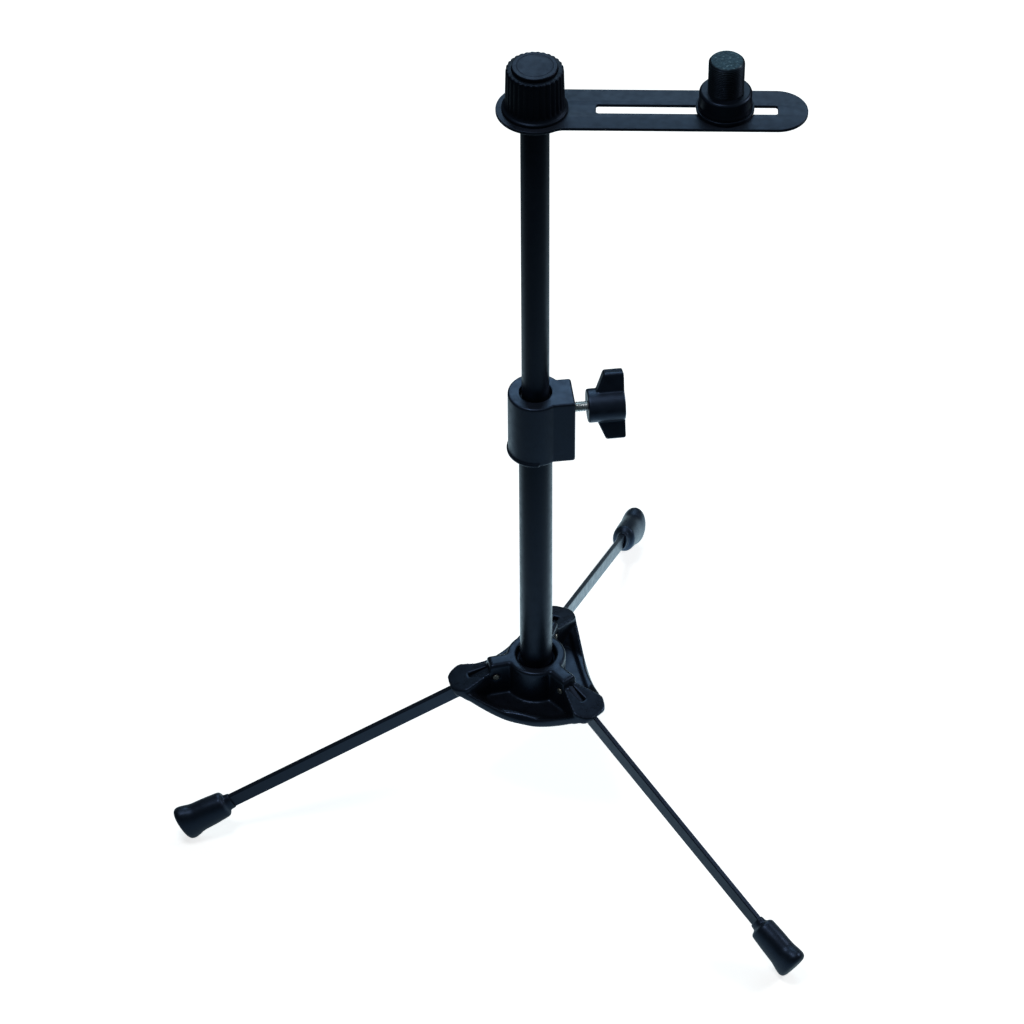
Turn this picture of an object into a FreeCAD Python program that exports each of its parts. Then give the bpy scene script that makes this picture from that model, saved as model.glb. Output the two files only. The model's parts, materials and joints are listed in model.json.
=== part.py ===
import FreeCAD, Part
import math
import os

# Small folding tripod stand with a telescoping column and a slotted bar that carries a 5/8 inch stud.
# Millimetres, +Z up. The origin is on the column axis, in the flat underside of the hub.
# +X runs along the slotted bar at rest. Heights are measured from the hub's underside.

# Legs: three flat bars on edge, hinged in the hub.
LEG_ANGLES = {"back": 74.0, "left": 194.0, "right": 314.0}
LEG_SLOPE = 24.2
LEG_THICKNESS = 2.5
LEG_HEIGHT = 8.2
LEG_LENGTH = 173.0
PIVOT_RADIUS = 21.4
PIVOT_Z = 15.9
PIN_RADIUS = 1.75
PIN_LENGTH = 8.9
PIN_DOME = 0.5

# Feet: rubber boots on the leg ends, oval in section, from a tight neck to a flared rim.
FOOT_START = 149.4
FOOT_END = 178.4
FOOT_SHOULDER = 153.3
FOOT_FLARE = 168.6
FOOT_NECK = (5.0, 3.4)
FOOT_BODY_START = (7.15, 6.1)
FOOT_BODY_END = (8.5, 6.35)
FOOT_RIM = (10.8, 6.6)

# Hub: three-cornered moulding, a hull of three round lobes round a central collar.
LOBE_CENTRE = 36.2
LOBE_RADIUS = 9.3
FLAT_RADIUS = 27.6
LOBE_UNDERSIDE_Z = 10.0
LOBE_TOP_Z = 15.2
LOBE_FALL = 1.8
LOBE_DRAFT = 0.5
RIM_TOP_Z = 5.8
RIM_WIDTH = 4.2
SIDE_REACH = 29.4
SIDE_CURVE = 40.0
SIDE_DRAFT = 0.64
POCKET_FLOOR_Z = 4.6
POCKET_REACH = 32.0
COLLAR_RADIUS = 14.8
COLLAR_EDGE = 1.2
COLLAR_TOP_Z = 24.2
COLLAR_RECESS_RADIUS = 10.0
COLLAR_RECESS_DEPTH = 4.0
ARM_HALF_WIDTH = 4.2
ARM_REACH = 24.5
ARM_EDGE = 2.0
FIN_START_Z = 19.4
FIN_TIP_REACH = 47.0
FIN_FLARE_REACH = 37.0
FIN_FLARE_HALF_WIDTH = 9.4
SLOT_CLEARANCE = 0.08
WINDOW_REACH = 34.6

# Tubes.
LOWER_RADIUS = 8.0
LOWER_BORE = 6.9
LOWER_START_Z = 9.6
LOWER_END_Z = 182.0
UPPER_RADIUS = 6.5
UPPER_BORE = 5.4
UPPER_START_Z = 148.0
GUIDE_RADIUS = 6.85
GUIDE_HEIGHT = 14.0
GUIDE_GROOVE_RADIUS = 6.0

# Hub fixing: a plug in the lower tube, with one bolt from below, behind a cap.
PLUG_HEIGHT = 12.0
BOLT_RADIUS = 3.0
BOLT_HEAD_FLATS = 10.0
BOLT_HEAD_HEIGHT = 4.0
WASHER_THICKNESS = 1.0
BOLT_WASHER_RADIUS = 6.2
COUNTERBORE_RADIUS = 8.0
COUNTERBORE_DEPTH = 6.6
CAP_THICKNESS = 1.4

# Clamp at the top of the lower tube.
CLAMP_YAW = 8.0
CLAMP_BOTTOM_Z = 163.6
CLAMP_TOP_Z = 199.8
CLAMP_RADIUS = 13.1
CLAMP_MOUTH_RADIUS = 7.6
CLAMP_EAR_REACH = 17.6
CLAMP_EAR_NEAR = 11.0
CLAMP_EAR_FAR = 7.5
CLAMP_LIP_RADIUS = 13.8
CLAMP_LIP_HEIGHT = 1.8
CLAMP_EDGE = 1.1
BUSH_BOTTOM_Z = 192.4
BUSH_TOP_Z = 196.2
INSERT_RADIUS = 4.0
INSERT_START = 11.6
SCREW_Z = 188.0
SCREW_RADIUS = 2.5
SCREW_START = 8.6
PAD_RADIUS = 3.4
HANDLE_START = 24.4
HANDLE_END = 42.0
HANDLE_BOSS_RADIUS = 8.1
HANDLE_WING_HALF_SPAN = 17.0
HANDLE_WING_HALF_THICKNESS = 3.2
HANDLE_TILT = -18.0

# Slotted bar and the fastener that holds it on the column.
BAR_BOTTOM_Z = 365.4
BAR_THICKNESS = 1.5
BAR_HEAD_RADIUS = 17.3
BAR_HALF_WIDTH = 13.85
BAR_END_CENTRE = 105.75
BAR_NECK_RADIUS = 9.0
SLOT_START = 26.8
SLOT_END = 106.3
SLOT_HALF_WIDTH = 3.05
SLOT_CORNER = 1.2
SPIGOT_FLANGE = 1.5
SPIGOT_RADIUS = 5.0
SPIGOT_TOP_Z = 381.0
NUT_WASHER_RADIUS = 11.0
NUT_HEIGHT = 21.6
NUT_RADIUS = 13.0
NUT_FLANGE_RADIUS = 14.7
NUT_FLANGE_HEIGHT = 2.2
NUT_RIBS = 30
NUT_RIB_DEPTH = 0.55
NUT_DISC_RADIUS = 10.1
NUT_DISC_RISE = 1.7
NUT_INSERT_RADIUS = 7.6

# Stud with the 5/8 inch microphone thread, and its fixing through the slot.
STUD_X = 83.2
STUD_RADIUS = 7.9375
STUD_SHANK_RADIUS = 7.0
STUD_LENGTH = 16.1
STUD_CHAMFER = 1.0
STUD_BASE_HEIGHT = 10.9
STUD_BASE_RADIUS = 11.6
STUD_FLANGE_RADIUS = 12.8
STUD_FLANGE_HEIGHT = 2.2
STUD_SCREW_HEAD_RADIUS = 5.6
STUD_SCREW_HEAD_HEIGHT = 3.3
SLOT_WASHER_RADIUS = 9.0
SLOT_WASHER_THICKNESS = 1.6
LOCK_WASHER_RADIUS = 6.4

# Radial clearance of a shaft that turns or slides in its hole.
RUNNING = 0.05

UP = FreeCAD.Vector(0, 0, 1)
ORIGIN = FreeCAD.Vector(0, 0, 0)
BAR_TOP_Z = BAR_BOTTOM_Z + BAR_THICKNESS
NUT_SEAT_Z = BAR_TOP_Z
CUT = 60.0


def vector(x, y, z=0.0):
    return FreeCAD.Vector(x, y, z)


def cylinder(radius, low, high, x=0.0):
    return Part.makeCylinder(radius, high - low, vector(x, 0, low), UP)


def ring(outer, inner, low, high, x=0.0):
    return cylinder(outer, low, high, x).cut(cylinder(inner, low, high, x))


def box(x_low, x_high, y_low, y_high, z_low, z_high):
    return Part.makeBox(x_high - x_low, y_high - y_low, z_high - z_low, vector(x_low, y_low, z_low))


def turned(shape, angle):
    shape = shape.copy()
    shape.rotate(ORIGIN, UP, angle)
    return shape


def fused(first, *others):
    return first.multiFuse(list(others)).removeSplitter()


def prism(points, low, high):
    """Extrude a plan polygon of (x, y) points from one height to another."""
    wire = Part.makePolygon([vector(x, y, low) for x, y in points + points[:1]])
    return Part.Face(wire).extrude(vector(0, 0, high - low))


def side_prism(points, half_width):
    """Extrude a polygon of (x, z) points to both sides of the XZ plane."""
    wire = Part.makePolygon([vector(x, -half_width, z) for x, z in points + points[:1]])
    return Part.Face(wire).extrude(vector(0, 2 * half_width, 0))


def lathe(points, x=0.0):
    """Turn a closed polygon of (radius, z) points round the vertical axis at x."""
    wire = Part.makePolygon([vector(x + radius, 0, z) for radius, z in points + points[:1]])
    return Part.Face(wire).revolve(vector(x, 0, 0), UP, 360)


def hexagon(flats, low, high, x=0.0):
    corner = flats / math.sqrt(3)
    points = [
        (x + corner * math.cos(math.radians(60 * step)), corner * math.sin(math.radians(60 * step)))
        for step in range(6)
    ]
    return prism(points, low, high)


def edges_at(shape, test):
    return [edge for edge in shape.Edges if test(edge)]


# Hub


def lobe_hull(inset, low, high):
    """The hub's plan outline: arcs round three lobes, joined by their common tangents."""
    radius = LOBE_RADIUS - inset
    angles = sorted(LEG_ANGLES.values())
    pieces = []
    for index, angle in enumerate(angles):
        centre = vector(LOBE_CENTRE, 0, low)
        arc_points = []
        for turn in (-60, 0, 60):
            point = centre + vector(math.cos(math.radians(turn)), math.sin(math.radians(turn))) * radius
            arc_points.append(turned_point(point, angle))
        pieces.append(Part.Arc(*arc_points).toShape())
        following = turned_point(centre, angles[(index + 1) % 3])
        side = turned_point(vector(radius, 0, 0), angle + 60)
        pieces.append(Part.makeLine(arc_points[2], following + side))
    return Part.Face(Part.Wire(pieces)).extrude(vector(0, 0, high - low))


def turned_point(point, angle):
    return FreeCAD.Rotation(UP, angle).multVec(point)


def bowl_underside(rise):
    """Profile points of the web's underside, lifted by rise."""
    lobe_edge = LOBE_CENTRE + LOBE_RADIUS / 2 - 1
    return [
        (0, rise),
        (FLAT_RADIUS, rise),
        (lobe_edge, LOBE_UNDERSIDE_Z + rise),
        (FIN_TIP_REACH, LOBE_UNDERSIDE_Z + rise),
    ]


def hub_web():
    """The dished three-cornered web: low between the legs, high at the lobes, with sloping sides."""
    top = [
        (FIN_TIP_REACH, LOBE_TOP_Z - LOBE_FALL),
        (LOBE_CENTRE + 4.4, LOBE_TOP_Z),
        (FLAT_RADIUS, RIM_TOP_Z),
        (0, RIM_TOP_Z),
    ]
    dish = lathe(bowl_underside(0) + top)
    web = dish.common(lobe_hull(0, 0, LOBE_TOP_Z + 1))
    return web.cut([turned(side_hollow(), angle + 60) for angle in LEG_ANGLES.values()])


def side_hollow():
    """Flared cutter beside the web, along +X, that leans the side inward and bows it between lobes."""
    low_radius = SIDE_CURVE
    high_radius = SIDE_CURVE + SIDE_DRAFT * LOBE_TOP_Z
    foot = vector(SIDE_REACH + SIDE_CURVE, 0, 0)
    return Part.makeCone(low_radius, high_radius, LOBE_TOP_Z, foot, UP)


def hub_fin():
    """Housing over one leg, along +X: a narrow arm at the pivot that flares into the lobe."""
    plan = prism(
        [
            (0, -ARM_HALF_WIDTH),
            (ARM_REACH, -ARM_HALF_WIDTH),
            (FIN_FLARE_REACH, -FIN_FLARE_HALF_WIDTH),
            (FIN_TIP_REACH, -FIN_FLARE_HALF_WIDTH),
            (FIN_TIP_REACH, FIN_FLARE_HALF_WIDTH),
            (FIN_FLARE_REACH, FIN_FLARE_HALF_WIDTH),
            (ARM_REACH, ARM_HALF_WIDTH),
            (0, ARM_HALF_WIDTH),
        ],
        0,
        COLLAR_TOP_Z,
    )
    side = side_prism(
        bowl_underside(0)
        + [
            (FIN_TIP_REACH, LOBE_TOP_Z - LOBE_FALL),
            (LOBE_CENTRE + 4.4, LOBE_TOP_Z),
            (ARM_REACH, FIN_START_Z),
            (ARM_REACH, COLLAR_TOP_Z),
            (0, COLLAR_TOP_Z),
        ],
        LOBE_RADIUS,
    )
    fin = plan.common(side)

    def on_arm_top(edge):
        bounds = edge.BoundBox
        return bounds.ZMin > COLLAR_TOP_Z - 0.1 and bounds.XMax > ARM_REACH - 0.1

    return fin.makeFillet(ARM_EDGE, edges_at(fin, on_arm_top))


def hub_pocket():
    """Open pocket between two legs, centred on +X, with its floor parallel to the underside."""
    room = lobe_hull(RIM_WIDTH, 0, COLLAR_TOP_Z)
    room = turned(room, -min(LEG_ANGLES.values()) - 60)
    spread = CUT * math.tan(math.radians(60))
    wedge = prism([(0, 0), (CUT, -spread), (CUT, spread)], 0, CUT)
    room = room.common(wedge)
    for side in (-1, 1):
        stop = box(POCKET_REACH, CUT, -CUT, CUT, -1, CUT)
        room = room.cut(turned(stop, side * 60))
    below = lathe(bowl_underside(POCKET_FLOOR_Z) + [(FIN_TIP_REACH, -1), (0, -1)])
    return room.cut(below)


def leg_slot():
    """Room for one leg along +X: its roof is the stop that the open leg rests against."""
    half = LEG_THICKNESS / 2 + SLOT_CLEARANCE
    slope = math.radians(LEG_SLOPE)
    reach = LEG_HEIGHT / 2 + SLOT_CLEARANCE
    roof = vector(PIVOT_RADIUS + reach * math.sin(slope), 0, PIVOT_Z + reach * math.cos(slope))
    far = CUT - roof.x
    points = [
        (PIVOT_RADIUS - reach, -1),
        (PIVOT_RADIUS - reach, PIVOT_Z),
        (roof.x, roof.z),
        (roof.x + far, roof.z - far * math.tan(slope)),
        (roof.x + far, -1),
    ]
    slot = side_prism(points, half)
    round_end = Part.makeCylinder(reach, 2 * half, vector(PIVOT_RADIUS, -half, PIVOT_Z), vector(0, 1, 0))
    window = box(ARM_REACH + 0.6, WINDOW_REACH, -half, half, LOBE_UNDERSIDE_Z, CUT)
    return fused(slot, round_end, window)


def pin_hole():
    return Part.makeCylinder(PIN_RADIUS, CUT / 4, vector(PIVOT_RADIUS, -CUT / 8, PIVOT_Z), vector(0, 1, 0))


def hub():
    collar = cylinder(COLLAR_RADIUS, 0, COLLAR_TOP_Z)
    top_edge = edges_at(collar, lambda edge: edge.BoundBox.ZMin > COLLAR_TOP_Z - 0.1)
    collar = collar.makeFillet(COLLAR_EDGE, top_edge)
    pockets = [turned(hub_pocket(), angle + 60) for angle in LEG_ANGLES.values()]
    web = hub_web().cut(pockets[0].multiFuse(pockets[1:]))
    hull = lobe_hull(0, 0, COLLAR_TOP_Z)
    fins = [turned(hub_fin(), angle).common(hull) for angle in LEG_ANGLES.values()]
    tip_radius = LOBE_CENTRE + LOBE_RADIUS - LOBE_DRAFT * LOBE_TOP_Z
    tips = Part.makeCone(tip_radius, tip_radius + LOBE_DRAFT * COLLAR_TOP_Z, COLLAR_TOP_Z, ORIGIN, UP)
    body = fused(web, collar, *fins).common(tips)
    socket = cylinder(LOWER_RADIUS, LOWER_START_Z, CUT)
    recess = cylinder(COLLAR_RECESS_RADIUS, COLLAR_TOP_Z - COLLAR_RECESS_DEPTH, CUT)
    bolt_hole = cylinder(BOLT_RADIUS + 0.2, -1, CUT)
    counterbore = cylinder(COUNTERBORE_RADIUS, -1, COUNTERBORE_DEPTH)
    tools = [socket, recess, bolt_hole, counterbore]
    for angle in LEG_ANGLES.values():
        tools.append(turned(leg_slot(), angle))
        tools.append(turned(pin_hole(), angle))
    return body.cut(tools).removeSplitter()


def hub_cap():
    disc = cylinder(COUNTERBORE_RADIUS, 0, CAP_THICKNESS)
    skirt = ring(COUNTERBORE_RADIUS, COUNTERBORE_RADIUS - 1, CAP_THICKNESS, CAP_THICKNESS + 2.6)
    return fused(disc, skirt)


def tube_bolt():
    head_top = COUNTERBORE_DEPTH - WASHER_THICKNESS
    head = hexagon(BOLT_HEAD_FLATS, head_top - BOLT_HEAD_HEIGHT, head_top)
    return fused(head, cylinder(BOLT_RADIUS, head_top, LOWER_START_Z + PLUG_HEIGHT - 2))


def bolt_washer():
    return ring(BOLT_WASHER_RADIUS, BOLT_RADIUS, COUNTERBORE_DEPTH - WASHER_THICKNESS, COUNTERBORE_DEPTH)


def tube_plug():
    plug = cylinder(LOWER_BORE, LOWER_START_Z, LOWER_START_Z + PLUG_HEIGHT)
    return plug.cut(cylinder(BOLT_RADIUS, 0, LOWER_START_Z + PLUG_HEIGHT - 2))


def domed_pin():
    """A pivot pin across one leg's housing, its ends rounded over."""
    low = -PIN_LENGTH / 2
    pin = Part.makeCylinder(PIN_RADIUS, PIN_LENGTH, vector(PIVOT_RADIUS, low, PIVOT_Z), vector(0, 1, 0))
    return pin.makeFillet(PIN_DOME, edges_at(pin, lambda edge: edge.Length > PIN_RADIUS * 6))


def leg_pins():
    return Part.makeCompound([turned(domed_pin(), angle) for angle in LEG_ANGLES.values()])


# Legs and feet


def along_leg(shape, angle):
    """Place a shape that lies along +X from the pivot at the origin onto the leg at angle."""
    shape = shape.copy()
    shape.rotate(ORIGIN, vector(0, 1, 0), LEG_SLOPE)
    shape.translate(vector(PIVOT_RADIUS, 0, PIVOT_Z))
    return turned(shape, angle)


def leg_blank():
    half = LEG_HEIGHT / 2
    bar = box(0, LEG_LENGTH, -LEG_THICKNESS / 2, LEG_THICKNESS / 2, -half, half)
    bar = bar.makeFillet(0.5, edges_at(bar, lambda edge: edge.Length > LEG_LENGTH - 1))
    eye = Part.makeCylinder(half, LEG_THICKNESS, vector(0, -LEG_THICKNESS / 2, 0), vector(0, 1, 0))
    return fused(bar, eye)


def leg():
    start = vector(0, -LEG_THICKNESS, 0)
    hole = Part.makeCylinder(PIN_RADIUS + RUNNING, LEG_THICKNESS * 2, start, vector(0, 1, 0))
    return leg_blank().cut(hole)


def oval(reach, radii, inset=0.0):
    """Oval wire across the leg at that reach, from its radii in height and width."""
    centre = vector(reach, 0, 0)
    tall = centre + vector(0, 0, radii[0] - inset)
    wide = centre + vector(0, radii[1] - inset, 0)
    return Part.Wire(Part.Ellipse(tall, wide, centre).toShape())


def between(first, second, share):
    return tuple(a + (b - a) * share for a, b in zip(first, second))


def foot():
    """Oval rubber boot: a tight neck, an abrupt shoulder, a long body and a flared, rounded rim."""
    sections = [
        oval(FOOT_START, FOOT_NECK, 0.4),
        oval(FOOT_START + 0.5, FOOT_NECK),
        oval(FOOT_SHOULDER - 0.4, FOOT_NECK, -0.1),
        oval(FOOT_SHOULDER, FOOT_BODY_START, 0.5),
        oval(FOOT_SHOULDER + 0.8, FOOT_BODY_START),
        oval(FOOT_FLARE - 6.6, between(FOOT_BODY_START, FOOT_BODY_END, 0.75)),
        oval(FOOT_FLARE, FOOT_BODY_END),
        oval(FOOT_FLARE + 2.4, between(FOOT_BODY_END, FOOT_RIM, 0.35)),
        oval(FOOT_FLARE + 5.0, between(FOOT_BODY_END, FOOT_RIM, 0.8)),
        oval(FOOT_END - 2.2, FOOT_RIM),
        oval(FOOT_END - 0.8, FOOT_RIM, 0.4),
        oval(FOOT_END, FOOT_RIM, 1.6),
    ]
    return Part.makeLoft(sections, True, True).cut(leg_blank())


# Column


def lower_tube():
    return ring(LOWER_RADIUS, LOWER_BORE, LOWER_START_Z, LOWER_END_Z)


def upper_tube():
    tube = ring(UPPER_RADIUS, UPPER_BORE, UPPER_START_Z, BAR_BOTTOM_Z - SPIGOT_FLANGE)
    groove_low = UPPER_START_Z + 2
    groove = ring(UPPER_RADIUS + 1, GUIDE_GROOVE_RADIUS, groove_low, groove_low + GUIDE_HEIGHT)
    return tube.cut(groove)


def guide_sleeve():
    """Plastic sleeve in the upper tube's groove, which slides in the lower tube."""
    low = UPPER_START_Z + 2 + RUNNING
    return ring(GUIDE_RADIUS, GUIDE_GROOVE_RADIUS + RUNNING, low, low + GUIDE_HEIGHT - 2 * RUNNING)


def top_spigot():
    """Turned plug in the top of the upper tube, with the threaded end that carries the bar."""
    flange_low = BAR_BOTTOM_Z - SPIGOT_FLANGE
    plug = cylinder(UPPER_BORE, flange_low - 16, flange_low)
    flange = cylinder(UPPER_RADIUS, flange_low, BAR_BOTTOM_Z)
    shank = cylinder(SPIGOT_RADIUS, BAR_BOTTOM_Z, SPIGOT_TOP_Z)
    shank = shank.makeChamfer(0.8, edges_at(shank, lambda edge: edge.BoundBox.ZMin > SPIGOT_TOP_Z - 0.1))
    return fused(plug, flange, shank)


# Clamp


def along_screw(shape):
    """Place a shape built along +Z from the column axis onto the clamp screw's axis."""
    shape = shape.copy()
    shape.rotate(ORIGIN, vector(0, 1, 0), 90)
    shape.translate(vector(0, 0, SCREW_Z))
    return turned(shape, CLAMP_YAW)


def clamp_body():
    barrel = cylinder(CLAMP_RADIUS, CLAMP_BOTTOM_Z, CLAMP_TOP_Z)
    ear = box(0, CLAMP_EAR_REACH, -CLAMP_EAR_NEAR, CLAMP_EAR_FAR, CLAMP_BOTTOM_Z, CLAMP_TOP_Z)
    ear = ear.makeFillet(CLAMP_EDGE, edges_at(ear, lambda edge: edge.BoundBox.XMin > CLAMP_EAR_REACH - 0.1))
    block = turned(fused(barrel, ear), CLAMP_YAW)

    def on_end(edge):
        bounds = edge.BoundBox
        flat = bounds.ZMax - bounds.ZMin < 0.01
        return flat and (bounds.ZMin < CLAMP_BOTTOM_Z + 0.1 or bounds.ZMax > CLAMP_TOP_Z - 0.1)

    block = block.makeFillet(CLAMP_EDGE * 0.8, edges_at(block, on_end))
    block = fused(block, turned(clamp_lip(), CLAMP_YAW))
    tube_bore = cylinder(LOWER_RADIUS, 0, LOWER_END_Z)
    mouth = cylinder(CLAMP_MOUTH_RADIUS, LOWER_END_Z, CLAMP_TOP_Z + 1)
    insert_hole = along_screw(cylinder(INSERT_RADIUS, 0, CLAMP_EAR_REACH + 1))
    return block.cut([tube_bore, mouth, insert_hole])


def clamp_lip():
    """Half ring round the barrel's foot, on the side away from the ear."""
    disc = cylinder(CLAMP_LIP_RADIUS, CLAMP_BOTTOM_Z, CLAMP_BOTTOM_Z + CLAMP_LIP_HEIGHT)
    disc = disc.makeFillet(0.5, edges_at(disc, lambda edge: edge.Length > CLAMP_LIP_RADIUS * 6))
    return disc.common(box(-CUT, 0, -CUT, CUT, 0, CUT * 4))


def clamp_bush():
    return ring(CLAMP_MOUTH_RADIUS, UPPER_RADIUS + RUNNING, BUSH_BOTTOM_Z, BUSH_TOP_Z)


def clamp_insert():
    """Threaded brass bush moulded into the clamp's ear."""
    return along_screw(ring(INSERT_RADIUS, SCREW_RADIUS + RUNNING, INSERT_START, CLAMP_EAR_REACH))


def clamp_pad():
    """Plastic pad between the screw's tip and the upper tube, hollowed to the tube."""
    pad = along_screw(cylinder(PAD_RADIUS, UPPER_RADIUS - 1.5, SCREW_START))
    return pad.cut(cylinder(UPPER_RADIUS, CLAMP_BOTTOM_Z, CLAMP_TOP_Z))


def clamp_screw():
    shank = cylinder(SCREW_RADIUS, SCREW_START, HANDLE_END - 5)
    shank = shank.makeChamfer(0.4, edges_at(shank, lambda edge: edge.BoundBox.ZMax < SCREW_START + 0.1))
    return along_screw(shank)


def handle_wing():
    """Both wings of the handle, as one plate in the XZ plane round the Z axis."""
    inner = HANDLE_START + 4.6
    outer = HANDLE_START + 8.2
    half = HANDLE_WING_HALF_SPAN
    points = [
        (-half, outer),
        (-HANDLE_BOSS_RADIUS, inner),
        (HANDLE_BOSS_RADIUS, inner),
        (half, outer),
        (half, HANDLE_END),
        (-half, HANDLE_END),
    ]
    plate = side_prism(points, HANDLE_WING_HALF_THICKNESS)
    clear_of_boss = HANDLE_BOSS_RADIUS + 0.5
    return plate.makeFillet(1.2, edges_at(plate, lambda edge: abs(edge.CenterOfMass.x) > clear_of_boss))


def clamp_handle():
    boss = cylinder(HANDLE_BOSS_RADIUS, HANDLE_START, HANDLE_END)
    boss = boss.makeFillet(0.8, edges_at(boss, lambda edge: edge.Length > HANDLE_BOSS_RADIUS * 6))
    handle = fused(boss, handle_wing())
    handle = handle.cut(cylinder(SCREW_RADIUS, HANDLE_START - 1, HANDLE_END - 5))
    return along_screw(turned(handle, HANDLE_TILT))


# Bar and cap nut


def slotted_bar():
    """Flat keyhole-shaped bar: a round head, a straight blade with a long slot and a round end."""
    head = cylinder(BAR_HEAD_RADIUS, BAR_BOTTOM_Z, BAR_TOP_Z)
    blade = box(0, BAR_END_CENTRE, -BAR_HALF_WIDTH, BAR_HALF_WIDTH, BAR_BOTTOM_Z, BAR_TOP_Z)
    end = cylinder(BAR_HALF_WIDTH, BAR_BOTTOM_Z, BAR_TOP_Z, BAR_END_CENTRE)
    bar = fused(head, blade, end)

    def in_neck(edge):
        bounds = edge.BoundBox
        upright = bounds.ZMax - bounds.ZMin > BAR_THICKNESS - 0.1
        return upright and 0 < bounds.XMin < BAR_HEAD_RADIUS

    bar = bar.makeFillet(BAR_NECK_RADIUS, edges_at(bar, in_neck))
    slot = box(SLOT_START, SLOT_END, -SLOT_HALF_WIDTH, SLOT_HALF_WIDTH, BAR_BOTTOM_Z - 1, BAR_TOP_Z + 1)
    upright = edges_at(slot, lambda edge: edge.BoundBox.ZMax - edge.BoundBox.ZMin > BAR_THICKNESS)
    slot = slot.makeFillet(SLOT_CORNER, upright)
    return bar.cut([slot, cylinder(SPIGOT_RADIUS + RUNNING, BAR_BOTTOM_Z - 1, BAR_TOP_Z + 1)])


def nut_washer():
    return ring(NUT_WASHER_RADIUS, SPIGOT_RADIUS + RUNNING, NUT_SEAT_Z, NUT_SEAT_Z + WASHER_THICKNESS)


def nut_shell_profile():
    seat = NUT_SEAT_Z
    top = seat + NUT_HEIGHT
    return [
        (0, seat),
        (NUT_FLANGE_RADIUS, seat),
        (NUT_FLANGE_RADIUS, seat + 1.2),
        (NUT_FLANGE_RADIUS - 0.7, seat + NUT_FLANGE_HEIGHT),
        (NUT_RADIUS + 0.2, seat + NUT_FLANGE_HEIGHT + 0.6),
        (NUT_RADIUS - 0.2, top - 1.6),
        (NUT_RADIUS - 1.2, top),
        (0, top),
    ]


def cap_nut():
    """Ribbed plastic cap nut with a flared foot, hollow for its washer, insert and top disc."""
    seat = NUT_SEAT_Z
    top = seat + NUT_HEIGHT
    shell = lathe(nut_shell_profile())
    grooves = []
    for index in range(NUT_RIBS):
        groove = cylinder(0.7, seat + NUT_FLANGE_HEIGHT + 1.2, top + 1, NUT_RADIUS + 0.7 - NUT_RIB_DEPTH)
        grooves.append(turned(groove, 360.0 * index / NUT_RIBS))
    washer_room = cylinder(NUT_WASHER_RADIUS + 0.2, seat - 1, seat + WASHER_THICKNESS)
    insert_room = cylinder(NUT_INSERT_RADIUS, seat, top - 5)
    disc_room = cylinder(NUT_DISC_RADIUS, top - 1, top + 1)
    return shell.cut(grooves + [washer_room, insert_room, disc_room])


def nut_insert():
    """Threaded metal bush inside the cap nut."""
    seat = NUT_SEAT_Z + WASHER_THICKNESS
    return ring(NUT_INSERT_RADIUS, SPIGOT_RADIUS + RUNNING, seat, NUT_SEAT_Z + NUT_HEIGHT - 5)


def cap_disc():
    """Plain disc pressed into the top of the cap nut, standing a little proud."""
    top = NUT_SEAT_Z + NUT_HEIGHT
    disc = cylinder(NUT_DISC_RADIUS, top - 1, top + NUT_DISC_RISE)
    return disc.makeFillet(0.4, edges_at(disc, lambda edge: edge.BoundBox.ZMin > top))


# Stud


def mic_stud():
    """Threaded stud: its shank is held in the base, and its thread starts on the base's top."""
    shoulder = BAR_TOP_Z + STUD_BASE_HEIGHT
    top = shoulder + STUD_LENGTH
    thread = cylinder(STUD_RADIUS, shoulder, top, STUD_X)
    thread = thread.makeChamfer(STUD_CHAMFER, edges_at(thread, lambda edge: edge.BoundBox.ZMin > top - 0.1))
    shank = cylinder(STUD_SHANK_RADIUS, BAR_TOP_Z + STUD_FLANGE_HEIGHT, shoulder, STUD_X)
    return fused(thread, shank).cut(cylinder(BOLT_RADIUS, BAR_BOTTOM_Z, BAR_TOP_Z + 14, STUD_X))


def stud_base():
    low = BAR_TOP_Z + STUD_FLANGE_HEIGHT
    high = BAR_TOP_Z + STUD_BASE_HEIGHT
    profile = [
        (0, low),
        (STUD_BASE_RADIUS + 0.5, low),
        (STUD_BASE_RADIUS, low + 2.4),
        (STUD_BASE_RADIUS, high - 0.8),
        (STUD_BASE_RADIUS - 0.8, high),
        (0, high),
    ]
    return lathe(profile, STUD_X).cut(cylinder(STUD_SHANK_RADIUS, low - 1, high + 1, STUD_X))


def stud_flange():
    low = BAR_TOP_Z
    flange = ring(STUD_FLANGE_RADIUS, BOLT_RADIUS, low, low + STUD_FLANGE_HEIGHT, STUD_X)

    def on_rim(edge):
        return edge.BoundBox.ZMin > low + 0.1 and edge.Length > 6 * STUD_BASE_RADIUS

    return flange.makeFillet(0.7, edges_at(flange, on_rim))


def slot_washer():
    low = BAR_BOTTOM_Z - SLOT_WASHER_THICKNESS
    return ring(SLOT_WASHER_RADIUS, BOLT_RADIUS + RUNNING, low, BAR_BOTTOM_Z, STUD_X)


def lock_washer():
    high = BAR_BOTTOM_Z - SLOT_WASHER_THICKNESS
    return ring(LOCK_WASHER_RADIUS, BOLT_RADIUS, high - WASHER_THICKNESS, high, STUD_X)


def stud_screw():
    """Cap screw from below, with a hexagon socket in its head."""
    high = BAR_BOTTOM_Z - SLOT_WASHER_THICKNESS - WASHER_THICKNESS
    low = high - STUD_SCREW_HEAD_HEIGHT
    head = cylinder(STUD_SCREW_HEAD_RADIUS, low, high, STUD_X)
    head = head.makeFillet(0.6, edges_at(head, lambda edge: edge.BoundBox.ZMax < low + 0.1))
    shank = cylinder(BOLT_RADIUS, high, BAR_TOP_Z + 13, STUD_X)
    return fused(head, shank).cut(hexagon(4.0, low - 1, low + 2.2, STUD_X))


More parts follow.
